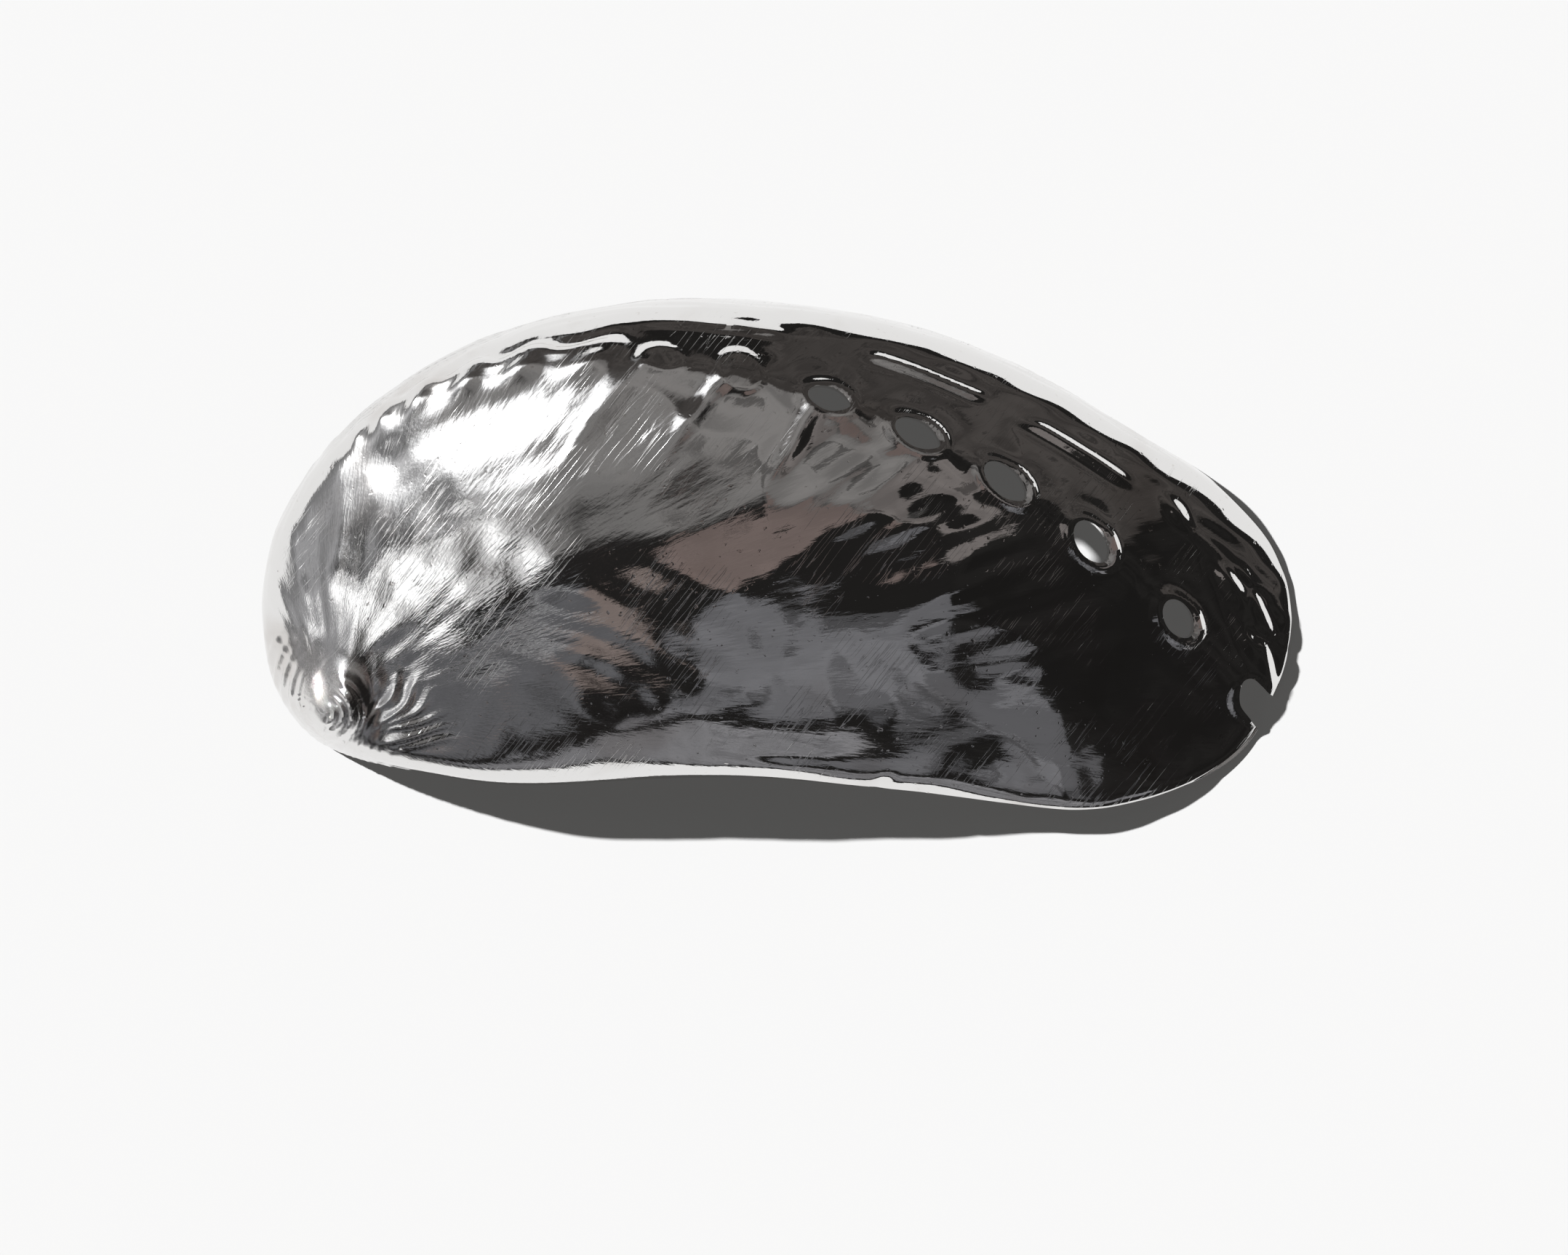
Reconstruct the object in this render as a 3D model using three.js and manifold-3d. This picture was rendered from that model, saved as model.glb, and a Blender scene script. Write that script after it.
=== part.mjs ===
// A polished silver abalone shell of the long, donkey's-ear form, lying dome up.
//
// Millimetres, +Z up. X runs along the shell from the spire end (-X) to the growing lip (+X), and the row
// of open pores lies on the +Y side. The origin is the middle of the underside of the shell's box.
//
// The shell is one thin wall of even thickness. Its edge is a closed line in space, given by stations. A
// smooth sheet is spanned across that line, and a side wall and a crown are raised on it. Every pore lies on
// one logarithmic spiral that starts at the spire's tip.
import * as THREE from 'three';
import { mergeVertices } from 'three/addons/utils/BufferGeometryUtils.js';
import Module from 'manifold-3d';

const SHELL_LENGTH = 100;
const SHELL_WIDTH = 49.4;
const WALL_THICKNESS = 1.1;

// Stations around the edge, counter-clockwise seen from above, from the middle of the lip:
// [x, y, height of the edge above the ground, height of the side wall above the edge].
const EDGE_STATIONS = [
  [49.9, -6.9, 0.0, 0.6],
  [49.4, -2.0, 0.0, 0.9],
  [47.0, 2.6, 0.0, 1.8],
  [41.6, 7.8, 0.2, 4.0],
  [34.5, 12.0, 0.6, 6.3],
  [26.0, 17.0, 1.1, 8.3],
  [17.0, 20.9, 1.6, 9.3],
  [8.0, 23.3, 1.9, 9.7],
  [-1.0, 24.5, 2.0, 9.9],
  [-10.0, 24.7, 1.9, 10.0],
  [-19.0, 23.6, 1.6, 9.7],
  [-27.5, 21.3, 1.0, 9.1],
  [-35.0, 17.6, 0.4, 8.5],
  [-41.0, 13.2, 0.1, 6.9],
  [-45.6, 7.9, 0.0, 5.7],
  [-48.7, 2.4, 0.0, 4.6],
  [-50.0, -4.0, 0.0, 3.8],
  [-49.6, -9.8, 0.0, 3.6],
  [-47.9, -14.6, 0.1, 4.2],
  [-44.7, -17.9, 0.3, 5.1],
  [-41.0, -19.8, 1.2, 5.4],
  [-36.0, -20.8, 3.1, 4.8],
  [-29.0, -22.1, 4.0, 3.6],
  [-21.0, -22.3, 4.9, 2.2],
  [-12.0, -21.7, 5.4, 1.3],
  [-2.5, -21.5, 5.3, 0.8],
  [7.0, -22.2, 4.7, 0.6],
  [16.5, -23.4, 3.9, 0.5],
  [25.0, -24.4, 2.8, 0.6],
  [31.5, -24.6, 1.9, 0.6],
  [38.5, -22.9, 1.1, 0.6],
  [44.0, -20.1, 0.5, 0.6],
  [47.1, -16.4, 0.2, 0.6],
  [49.1, -11.8, 0.0, 0.5],
];

// The crown: its height over the middle, and how much higher it stands towards the pore row and the spire.
const CROWN_HEIGHT = 11.6;
const CROWN_LEAN_ACROSS = 0.16;
const CROWN_LEAN_ALONG = -0.05;
const WALL_SHARPNESS = 34;

// Where the edge comes within this height of the ground it is dressed flat, and the shell rests on it.
const RESTING_BAND = 0.04;

// The pore row: the distance of the spiral from the spire's tip at a bearing of zero, and how fast it closes.
const SPIRE_TIP = new THREE.Vector2(-43.3, -15.2);
const ROW_REACH = 90.4;
const ROW_TIGHTNESS = 0.835;
// The ridge that carries it: it thins within fullReach of the tip and fades out between two bearings.
const ROW_RIDGE = { height: 0.8, halfWidth: 2.6, fullReach: 20.8, fadesFrom: 60, fadesOut: 150 };

// Open pores, newest first: bearing from the spire's tip and turn of the long axis off the row, in degrees.
const PORES = [
  { bearing: 6.2, length: 4.4, width: 2.8, skew: 8 },
  { bearing: 12.5, length: 4.8, width: 3.0, skew: 12 },
  { bearing: 18.7, length: 5.1, width: 2.8, skew: 8 },
  { bearing: 25.1, length: 4.8, width: 2.6, skew: 3 },
  { bearing: 31.8, length: 4.25, width: 2.35, skew: 0 },
];
// The pore still forming is an open notch in the lip.
const NOTCH = { x: 47.4, y: -14.9, length: 5.6, width: 3.1, turn: -8 };

const SPIRE_KNOB = { height: 1.7, halfWidth: 4.2 };

const SECTORS = 84;
const RINGS = 15;
const EDGE_SAMPLES = 144;
const HARMONICS = 24;
const CURVE_STEPS = 2000;
const CUTTER_STEPS = 28;
const SEARCH_STEPS = 40;
const CUTTER_DEPTH = 9;
// Tangents are taken over this step, this far inside the edge, and this far off the middle of the disc.
const TANGENT_STEP = 0.002;
const EDGE_INSET = 0.9995;
const MIDDLE_INSET = 0.01;

const radians = THREE.MathUtils.degToRad;

// The bearing of a point in the disc that the shell is worked out on, a circle that the ellipse
// SHELL_LENGTH by SHELL_WIDTH comes from.
function discBearing(x, y) {
  return Math.atan2(y / SHELL_WIDTH, x / SHELL_LENGTH);
}

// Runs one smooth closed curve through a column of the stations, against the disc bearing.
function edgeSamples() {
  const places = new THREE.CatmullRomCurve3(
    EDGE_STATIONS.map(([x, y, z]) => new THREE.Vector3(x, y, z)), true, 'catmullrom', 0.5);
  const walls = new THREE.CatmullRomCurve3(
    EDGE_STATIONS.map(([x, y, , wall]) => new THREE.Vector3(x, y, wall)), true, 'catmullrom', 0.5);
  const dense = [];
  for (let i = 0; i < CURVE_STEPS; i += 1) {
    const place = places.getPoint(i / CURVE_STEPS);
    const wall = walls.getPoint(i / CURVE_STEPS).z;
    dense.push({ bearing: discBearing(place.x, place.y), values: [place.x, place.y, place.z, wall] });
  }
  dense.sort((a, b) => a.bearing - b.bearing);
  const first = dense[0];
  dense.push({ bearing: first.bearing + 2 * Math.PI, values: first.values });
  const samples = [];
  let at = 0;
  for (let i = 0; i < EDGE_SAMPLES; i += 1) {
    let bearing = -Math.PI + (2 * Math.PI * i) / EDGE_SAMPLES;
    if (bearing < first.bearing) bearing += 2 * Math.PI;
    if (bearing < dense[at].bearing) at = 0;
    while (dense[at + 1].bearing < bearing) at += 1;
    const share = (bearing - dense[at].bearing) / (dense[at + 1].bearing - dense[at].bearing);
    samples.push(dense[at].values.map((v, k) => v + share * (dense[at + 1].values[k] - v)));
  }
  return samples;
}

// Fourier series of the edge: for each harmonic, its cosine and sine weights for x, y, edge height and wall.
function edgeSeries() {
  const samples = edgeSamples();
  const series = [];
  for (let n = 0; n <= HARMONICS; n += 1) {
    const cosine = [0, 0, 0, 0];
    const sine = [0, 0, 0, 0];
    const weight = (n === 0 ? 1 : 2) / EDGE_SAMPLES;
    samples.forEach((values, i) => {
      const angle = n * (-Math.PI + (2 * Math.PI * i) / EDGE_SAMPLES);
      values.forEach((v, k) => {
        cosine[k] += weight * v * Math.cos(angle);
        sine[k] += weight * v * Math.sin(angle);
      });
    });
    series.push({ cosine, sine });
  }
  return series;
}

const SERIES = edgeSeries();

// The sheet spanned by the edge: each harmonic fades towards the middle as its order's power of the radius.
function spannedSheet(radius, angle) {
  const out = [0, 0, 0, 0];
  SERIES.forEach(({ cosine, sine }, n) => {
    const fade = radius ** n;
    for (let k = 0; k < 4; k += 1) {
      out[k] += fade * (cosine[k] * Math.cos(n * angle) + sine[k] * Math.sin(n * angle));
    }
  });
  return out;
}

// A point of the pore row at a bearing, in degrees, from the spire's tip: a logarithmic spiral.
function rowPoint(bearing) {
  const reach = ROW_REACH * Math.exp(-ROW_TIGHTNESS * radians(bearing));
  return new THREE.Vector2(reach, 0).rotateAround(new THREE.Vector2(), radians(bearing)).add(SPIRE_TIP);
}

// The swelling along the pore row: a bell curve of the distance across the spiral, fading at its old end.
function rowSwelling(x, y) {
  const fromTip = new THREE.Vector2(x, y).sub(SPIRE_TIP);
  const bearing = fromTip.angle() > Math.PI * 1.5 ? fromTip.angle() - 2 * Math.PI : fromTip.angle();
  const reach = ROW_REACH * Math.exp(-ROW_TIGHTNESS * bearing);
  const across = (fromTip.length() - reach) / Math.hypot(1, ROW_TIGHTNESS);
  const share = Math.min(1, reach / ROW_RIDGE.fullReach);
  const { fadesFrom, fadesOut } = ROW_RIDGE;
  const fade = 1 - THREE.MathUtils.smoothstep(THREE.MathUtils.radToDeg(bearing), fadesFrom, fadesOut);
  return ROW_RIDGE.height * share * fade * Math.exp(-((across / ROW_RIDGE.halfWidth) ** 2));
}

// The small knob of the spire's first whorls.
function spireSwelling(x, y) {
  const away = Math.hypot(x - SPIRE_TIP.x, y - SPIRE_TIP.y) / SPIRE_KNOB.halfWidth;
  return SPIRE_KNOB.height * Math.exp(-away * away);
}

// The outer skin at a radius, 0 in the middle to 1 at the edge, and an angle of the disc.
function outerSkin(radius, angle) {
  const [x, y, spanned, wall] = spannedSheet(radius, angle);
  const edge = radius === 1 && spanned < RESTING_BAND ? 0 : Math.max(0, spanned);
  const rise = Math.sqrt(Math.max(0, 1 - radius ** WALL_SHARPNESS));
  const lean = 1 + CROWN_LEAN_ACROSS * radius * Math.sin(angle) + CROWN_LEAN_ALONG * radius * Math.cos(angle);
  const crown = CROWN_HEIGHT * lean * (1 - radius * radius);
  const detail = rise * (rowSwelling(x, y) + spireSwelling(x, y));
  return new THREE.Vector3(x, y, edge + wall * rise + crown + detail);
}

// The skin's outward direction, from the two tangents. At the edge itself it lies level.
function outwardAt(radius, angle) {
  const inner = Math.max(0, radius - TANGENT_STEP);
  const outer = Math.min(EDGE_INSET, radius + TANGENT_STEP);
  const along = outerSkin(outer, angle).sub(outerSkin(inner, angle));
  const middle = Math.min(EDGE_INSET, Math.max(radius, MIDDLE_INSET));
  const around = outerSkin(middle, angle + TANGENT_STEP).sub(outerSkin(middle, angle - TANGENT_STEP));
  const outward = along.cross(around).normalize();
  if (radius === 1) outward.setZ(0).normalize();
  return outward;
}

// The inner skin lies one wall thickness inside the outer one, and never below the ground.
function innerSkin(radius, angle) {
  const point = outerSkin(radius, angle).addScaledVector(outwardAt(radius, angle), -WALL_THICKNESS);
  return point.setZ(Math.max(0, point.z));
}

// The wall as a closed mesh: rings of the outer skin, rings of the inner skin, and a flat strip between their
// edges.
function wallGeometry() {
  const positions = [];
  const indices = [];
  const addSkin = (skin, facesOut) => {
    const base = positions.length / 3;
    positions.push(...skin(0, 0).toArray());
    for (let ring = 1; ring <= RINGS; ring += 1) {
      const radius = ring === RINGS ? 1 : Math.sin((Math.PI / 2) * (ring / RINGS));
      for (let sector = 0; sector < SECTORS; sector += 1) {
        positions.push(...skin(radius, (2 * Math.PI * sector) / SECTORS).toArray());
      }
    }
    const at = (ring, sector) => base + 1 + (ring - 1) * SECTORS + (sector % SECTORS);
    const add = (a, b, c) => indices.push(...(facesOut ? [a, b, c] : [a, c, b]));
    for (let sector = 0; sector < SECTORS; sector += 1) {
      add(base, at(1, sector), at(1, sector + 1));
      for (let ring = 1; ring < RINGS; ring += 1) {
        add(at(ring, sector), at(ring + 1, sector), at(ring + 1, sector + 1));
        add(at(ring, sector), at(ring + 1, sector + 1), at(ring, sector + 1));
      }
    }
    return (sector) => at(RINGS, sector);
  };
  const outerEdge = addSkin(outerSkin, true);
  const innerEdge = addSkin(innerSkin, false);
  for (let sector = 0; sector < SECTORS; sector += 1) {
    indices.push(outerEdge(sector), innerEdge(sector), innerEdge(sector + 1));
    indices.push(outerEdge(sector), innerEdge(sector + 1), outerEdge(sector + 1));
  }
  const geometry = new THREE.BufferGeometry();
  geometry.setAttribute('position', new THREE.Float32BufferAttribute(positions, 3));
  geometry.setIndex(indices);
  return geometry;
}

// The skin above a point of the plan: its point and outward direction. The disc point starts at the plan
// point on the scale of the ellipse and is moved by what it still misses the plan point by.
function skinAbove(x, y) {
  let u = (2 * x) / SHELL_LENGTH;
  let v = (2 * y) / SHELL_WIDTH;
  for (let step = 0; step < SEARCH_STEPS; step += 1) {
    const [px, py] = spannedSheet(Math.hypot(u, v), Math.atan2(v, u));
    u += (2 * (x - px)) / SHELL_LENGTH;
    v += (2 * (y - py)) / SHELL_WIDTH;
  }
  const radius = Math.hypot(u, v);
  const angle = Math.atan2(v, u);
  return { point: outerSkin(radius, angle), outward: outwardAt(radius, angle) };
}

// An elliptical rod whose middle lies at a point and whose axis leans half way to the given direction.
function poreCutter({ length, width, turn }, point, outward) {
  const ellipse = new THREE.EllipseCurve(0, 0, length / 2, width / 2, 0, 2 * Math.PI, false, radians(turn));
  const outline = new THREE.Shape(ellipse.getPoints(CUTTER_STEPS));
  const geometry = new THREE.ExtrudeGeometry(outline, { depth: CUTTER_DEPTH, bevelEnabled: false });
  geometry.translate(0, 0, -CUTTER_DEPTH / 2);
  const axis = new THREE.Vector3(0, 0, 1).add(outward).normalize();
  geometry.applyQuaternion(new THREE.Quaternion().setFromUnitVectors(new THREE.Vector3(0, 0, 1), axis));
  geometry.translate(point.x, point.y, point.z - WALL_THICKNESS / 2);
  return geometry;
}

const wasm = await Module();
wasm.setup();

function solidFrom(geometry) {
  const bare = geometry.clone();
  bare.deleteAttribute('normal');
  bare.deleteAttribute('uv');
  const merged = mergeVertices(bare, 1e-4);
  return new wasm.Manifold(new wasm.Mesh({
    numProp: 3,
    vertProperties: new Float32Array(merged.attributes.position.array),
    triVerts: new Uint32Array(merged.index.array),
  }));
}

function geometryFrom(solid) {
  const { vertProperties, triVerts } = solid.getMesh();
  const geometry = new THREE.BufferGeometry();
  geometry.setAttribute('position', new THREE.BufferAttribute(vertProperties, 3));
  geometry.setIndex(new THREE.BufferAttribute(triVerts, 1));
  geometry.computeVertexNormals();
  return geometry;
}

function shellGeometry() {
  let solid = solidFrom(wallGeometry());
  for (const pore of PORES) {
    const { x, y } = rowPoint(pore.bearing);
    const { point, outward } = skinAbove(x, y);
    const rowHeading = THREE.MathUtils.radToDeg(Math.atan2(
      ROW_TIGHTNESS * Math.sin(radians(pore.bearing)) - Math.cos(radians(pore.bearing)),
      ROW_TIGHTNESS * Math.cos(radians(pore.bearing)) + Math.sin(radians(pore.bearing))));
    const cutter = poreCutter({ ...pore, turn: rowHeading - pore.skew }, point.setX(x).setY(y), outward);
    solid = solid.subtract(solidFrom(cutter));
  }
  const notch = skinAbove(NOTCH.x, NOTCH.y).point;
  return geometryFrom(solid.subtract(solidFrom(poreCutter(NOTCH, notch, new THREE.Vector3(0, 0, 1)))));
}

const silver = new THREE.MeshStandardMaterial({ color: 0xd9d8d6, roughness: 0.12, metalness: 1 });

const shell = new THREE.Mesh(shellGeometry(), silver);
shell.name = 'shell';

const object = new THREE.Group();
object.add(shell);
export default object;
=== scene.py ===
"""Polished silver abalone shell, lying dome up on a pale table.

The shell is one closed wall: an outer skin, an inner skin and a narrow rim between them. The open pores and
the notch in the lip are cut through it. Formulas are in millimetres and become metres when a mesh is made.
"""
import math

import bpy
import numpy as np
from bpy.props import FloatProperty, FloatVectorProperty, IntProperty, PointerProperty
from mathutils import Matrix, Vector


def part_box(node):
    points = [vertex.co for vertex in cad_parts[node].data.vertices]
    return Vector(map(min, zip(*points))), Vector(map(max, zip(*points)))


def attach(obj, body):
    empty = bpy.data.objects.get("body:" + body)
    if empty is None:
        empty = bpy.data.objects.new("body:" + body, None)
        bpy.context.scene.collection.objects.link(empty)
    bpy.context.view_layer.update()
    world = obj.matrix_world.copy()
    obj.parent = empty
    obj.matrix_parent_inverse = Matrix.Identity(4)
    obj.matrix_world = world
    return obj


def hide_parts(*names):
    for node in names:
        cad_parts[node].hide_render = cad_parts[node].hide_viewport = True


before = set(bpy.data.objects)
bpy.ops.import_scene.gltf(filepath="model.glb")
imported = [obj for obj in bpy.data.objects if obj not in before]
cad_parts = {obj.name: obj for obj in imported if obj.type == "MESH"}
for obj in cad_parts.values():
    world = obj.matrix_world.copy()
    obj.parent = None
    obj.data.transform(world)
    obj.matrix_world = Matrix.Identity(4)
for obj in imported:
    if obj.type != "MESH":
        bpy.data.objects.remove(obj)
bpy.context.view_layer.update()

bl_info = {
    "name": "Silver Abalone Shell",
    "version": (1, 0, 0),
    "blender": (4, 5, 0),
    "location": "3D View > Sidebar > Shell",
    "description": "Builds a mirror-polished abalone shell and its stage",
    "category": "Add Mesh",
}

MM = 0.001
SHELL_NODE = "shell"

# The shell's box gives the plan size; the stations below are drawn at this size.
BOX_LOW, BOX_HIGH = (np.array(corner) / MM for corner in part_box(SHELL_NODE))
DRAWN_LENGTH = 100.0
DRAWN_WIDTH = 49.4
EDGE_LENGTH = DRAWN_LENGTH - 0.043
FIT = (BOX_HIGH[0] - BOX_LOW[0]) / EDGE_LENGTH

# Stations around the edge, counter-clockwise seen from above, from the middle of the lip:
# x, y, height of the edge above the ground, height of the side wall above the edge.
EDGE_STATIONS = np.array([
    (49.9, -6.9, 0.0, 0.6), (49.4, -2.0, 0.0, 0.9), (47.0, 2.6, 0.0, 1.8), (41.6, 7.8, 0.2, 4.0),
    (34.5, 12.0, 0.6, 6.3), (26.0, 17.0, 1.1, 8.3), (17.0, 20.9, 1.6, 9.3), (8.0, 23.3, 1.9, 9.7),
    (-1.0, 24.5, 2.0, 9.9), (-10.0, 24.7, 1.9, 10.0), (-19.0, 23.6, 1.6, 9.7), (-27.5, 21.3, 1.0, 9.1),
    (-35.0, 17.6, 0.4, 8.5), (-41.0, 13.2, 0.1, 6.9), (-45.6, 7.9, 0.0, 5.7), (-48.7, 2.4, 0.0, 4.6),
    (-50.0, -4.0, 0.0, 3.8), (-49.6, -9.8, 0.0, 3.6), (-47.9, -14.6, 0.1, 4.2), (-44.7, -17.9, 0.3, 5.1),
    (-41.0, -19.8, 1.2, 5.4), (-36.0, -20.8, 3.1, 4.8), (-29.0, -22.1, 4.0, 3.6), (-21.0, -22.3, 4.9, 2.2),
    (-12.0, -21.7, 5.4, 1.3), (-2.5, -21.5, 5.3, 0.8), (7.0, -22.2, 4.7, 0.6), (16.5, -23.4, 3.9, 0.5),
    (25.0, -24.4, 2.8, 0.6), (31.5, -24.6, 1.9, 0.6), (38.5, -22.9, 1.1, 0.6), (44.0, -20.1, 0.5, 0.6),
    (47.1, -16.4, 0.2, 0.6), (49.1, -11.8, 0.0, 0.5),
])
EDGE_SAMPLES = 144
HARMONICS = 24
CURVE_STEPS = 4000
WALL_SHARPNESS = 34
RESTING_BAND = 0.04
CROWN_LEAN = 0.16 - 0.05j
# A middling section of the skin, by which places are spread evenly: half its width and its wall's height.
SECTION_REACH = 32
SECTION_WALL = 8.0
SECTION_STEPS = 2000

# The grid is drawn together round the spire: share of the way moved, and its reach in angle and in size.
GATHER_SHARE = 0.55
GATHER_ANGLE = 0.42
GATHER_SIZE = 0.16

# The pore row is a spiral about the spire's tip: the log of its reach falls by the tightness for each radian
# of bearing.
SPIRE_TIP = np.array((-43.3, -15.2))
ROW_REACH = 90.4
ROW_TIGHTNESS = 0.835
ROW_SLANT = 1 / math.hypot(1, ROW_TIGHTNESS)
BEARING_CUT = math.radians(100)
# Bearings in degrees of the notch, the five open pores and the sealed pores behind them, one step apart.
ROW_BEARINGS = np.radians([
    -72.0, 0.5, 6.2, 12.5, 18.7, 25.1, 31.8, 39.8, 46.6, 52.5, 60.3, 66.8, 73.5, 79.3, 84.1, 150.0])
ROW_STEPS = np.array([-11, *range(0, 14), 25], float)

# Open pores, newest first: step, length, width, turn of the long axis from the row's heading in degrees,
# pointedness of the newer end, and strength of the crescent lip round the newer end.
OPEN_PORES = [
    (1, 4.4, 2.8, 8.0, 0.15, 0.50), (2, 4.8, 3.0, 12.0, 0.15, 0.50), (3, 5.1, 2.8, 8.0, 0.20, 0.42),
    (4, 4.8, 2.6, 3.0, 0.35, 0.30), (5, 4.25, 2.35, 0.0, 0.40, 0.15),
]
CUTTER_STEPS = 72
CUTTER_HALF_HEIGHT = 5
CUTTER_LEAN = 0.5
# Outline of the notch in the lip, which is the pore that is still being made.
NOTCH_OUTLINE = np.array([
    (45.0, -14.7), (45.9, -15.9), (46.6, -16.8), (48.6, -18.6), (51.5, -17.5), (50.5, -14.7), (48.1, -13.7),
    (47.2, -12.9), (46.2, -12.1), (45.3, -12.3), (44.9, -13.3),
])
NOTCH_MIDDLE = 46.3 - 14.2j
NOTCH_RADIUS = 1.9
NOTCH_HEIGHT = 3.0

# Relief is written as bands, each a height, the middle of the band and its half width, and as spans of the
# pore row, each the steps where it starts to rise, is full, starts to fall and has gone.
ROW_RIDGE = (0.8, 0.0, 2.6)
ROW_RIDGE_SPAN = (-1.5, 0.5, 15, 20)
SPIRE_KNOB = (1.7, 0.0, 4.2)

# Round an open pore, by the distance outside the opening.
CRESCENT = (0.42, 0.50, 0.26)
COLLAR = (0.05, 0.40, 0.30)
OLDER_HOLLOW = (-0.16, 1.4, 1.0)
BRIM_DROP = 0.13
NOTCH_RIM = (0.14, 0.1, 0.30)
SEALED_RING_HALF_WIDTH = 0.34
SEALED_RING_DIP = 0.8

# Along the pore row, by the distance across it or by the cord.
SEALED_SPAN = (6.6, 7.8, 17, 22)
OPEN_SPAN = (0.6, 1.6, 6.8, 8.2)
FOLD_SPAN = (-1, 2, 11, 15)
KNOB_HEIGHT = 0.62
KNOB_HALF_WIDTH = 1.7
KNOB_SHRINK = 0.095
BROW_HEIGHT = 0.36
BROW_HALF_WIDTH = 0.5
KEEL = (0.29, 0.113, 0.0085)
KEEL_GROOVE = (-0.08, 0.098, 0.008)
NODULES = (0.13, 0.150, 0.013)
FOLD_HEIGHT = 0.19
FINE_FOLD_HEIGHT = 0.05
FOLD_SLANT = 1.04

# Round the spire: the coil, its suture, the grooves from the flank, the fan of wrinkles and the rays.
COIL_HEIGHT = 0.10
COIL_SPACING = 0.82
COIL_TWIST = 0.11
SUTURE = (-0.34, 3.35, 0.24)
GROOVE_HEIGHT = 0.15
GROOVE_SPACING = 0.17
GROOVE_WINDING = 0.48
FAN_MIDDLE = (-40.6, -18.9)
FAN_HEIGHT = 0.11
FAN_RIBS = 15
RAY_HEIGHT = 0.05
FLANK_RAY_HEIGHT = 0.09

# Unevenness of the whole skin from large to small, and the creases and bumps of the side wall.
SLOW_HEIGHT = 0.17
MIDDLING_HEIGHT = 0.10
SMALL_HEIGHT = 0.018
ROW_LINE_HEIGHT = 0.03
CREASE_HEIGHT = 0.075
BUMP_HEIGHT = 0.05

# Rings round the last sealed pores: x, y, length, width, turn in degrees, height.
SEALED_RINGS = [(-3.5, 17.4, 4.4, 3.4, -25, 0.09), (-10.9, 18.6, 4.3, 2.1, -8, 0.13)]

# Swellings and dents of the skin: x, y, half length, half width, turn in degrees, height.
FORMS = [
    (-3.5, 17.4, 3.0, 2.4, -15, 0.35), (4.0, -21.4, 13.0, 1.5, -4, 0.50), (-41.0, -9.5, 2.0, 1.6, 40, 0.20),
    (-41.0, -13.4, 2.3, 1.2, -72, 0.90), (-38.9, -14.6, 1.9, 1.3, -70, -0.60),
    (-38.2, -17.2, 1.6, 1.0, 10, -0.30), (-43.6, -16.2, 2.6, 2.4, 0, 0.50),
    (-36.0, -10.0, 4.5, 2.2, 50, -0.20), (0.9, -20.2, 3.6, 0.5, -4, 0.07),
    (0.9, -19.2, 3.8, 0.6, -4, -0.05), (10.3, -22.0, 1.0, 0.6, 20, -0.20), (38.6, 4.1, 1.7, 0.7, -52, 0.36),
    (43.8, -2.6, 2.3, 0.7, -52, 0.34), (46.7, -5.4, 3.4, 0.55, -68, 0.28),
    (45.4, -8.2, 2.6, 0.6, -60, 0.26), (47.4, -10.6, 2.2, 0.5, -75, 0.24), (-7.2, 13.9, 4.2, 0.9, 52, 0.40),
    (2.2, 11.6, 4.0, 0.9, 60, 0.42), (-15.5, 14.5, 4.0, 1.2, 48, 0.26), (45.2, -6.0, 6.0, 1.3, -66, 0.30),
    (47.0, -8.0, 2.6, 0.5, -20, -0.22), (46.6, -3.6, 2.2, 0.5, -35, -0.20),
]


class ShellSizes(bpy.types.PropertyGroup):
    wall: FloatProperty(
        name="Wall", description="Thickness of the shell's wall", default=0.0011, unit="LENGTH")
    crown: FloatProperty(
        name="Crown", description="Rise of the dome above its side wall", default=0.0116, unit="LENGTH")
    relief: FloatProperty(
        name="Relief", description="Share of the full depth of folds and growth lines", default=1.0,
        subtype="FACTOR", min=0.0, max=1.5)
    columns: IntProperty(
        name="Columns", description="Grid cells along the outer skin, an even number", default=352, min=40)
    rows: IntProperty(
        name="Rows", description="Grid cells across the outer skin, an even number", default=204, min=24)


class SilverFinish(bpy.types.PropertyGroup):
    metal: FloatVectorProperty(
        name="Silver", description="Colour of the bare polished metal", default=(0.80, 0.793, 0.785),
        subtype="COLOR", size=3, min=0.0, max=1.0)
    tarnish: FloatVectorProperty(
        name="Tarnish", description="Colour of the metal in its stains and pits", default=(0.55, 0.51, 0.48),
        subtype="COLOR", size=3, min=0.0, max=1.0)


class StageSettings(bpy.types.PropertyGroup):
    table: FloatVectorProperty(
        name="Table", description="Colour of the table top", default=(0.90, 0.90, 0.90),
        subtype="COLOR", size=3, min=0.0, max=1.0)
    key_height: FloatProperty(
        name="Key height", description="Height of the key light above the horizon",
        default=math.radians(30.0), subtype="ANGLE")


# --- The skins ---------------------------------------------------------------------------------------------

def closed_curve(points, steps):
    """Points on a closed Catmull-Rom curve: between two stations, the cubic through both whose slopes there
    are half the step from the station before to the station after."""
    count = len(points)
    place = np.arange(steps) * count / steps
    at = place.astype(int)
    share = (place - at)[:, None]
    before, here, there, after = (points[(at + k) % count] for k in (-1, 0, 1, 2))
    bend = share * (3 * (here - there) + after - before)
    return here + 0.5 * share * (there - before + share * (2 * before - 5 * here + 4 * there - after + bend))


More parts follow.
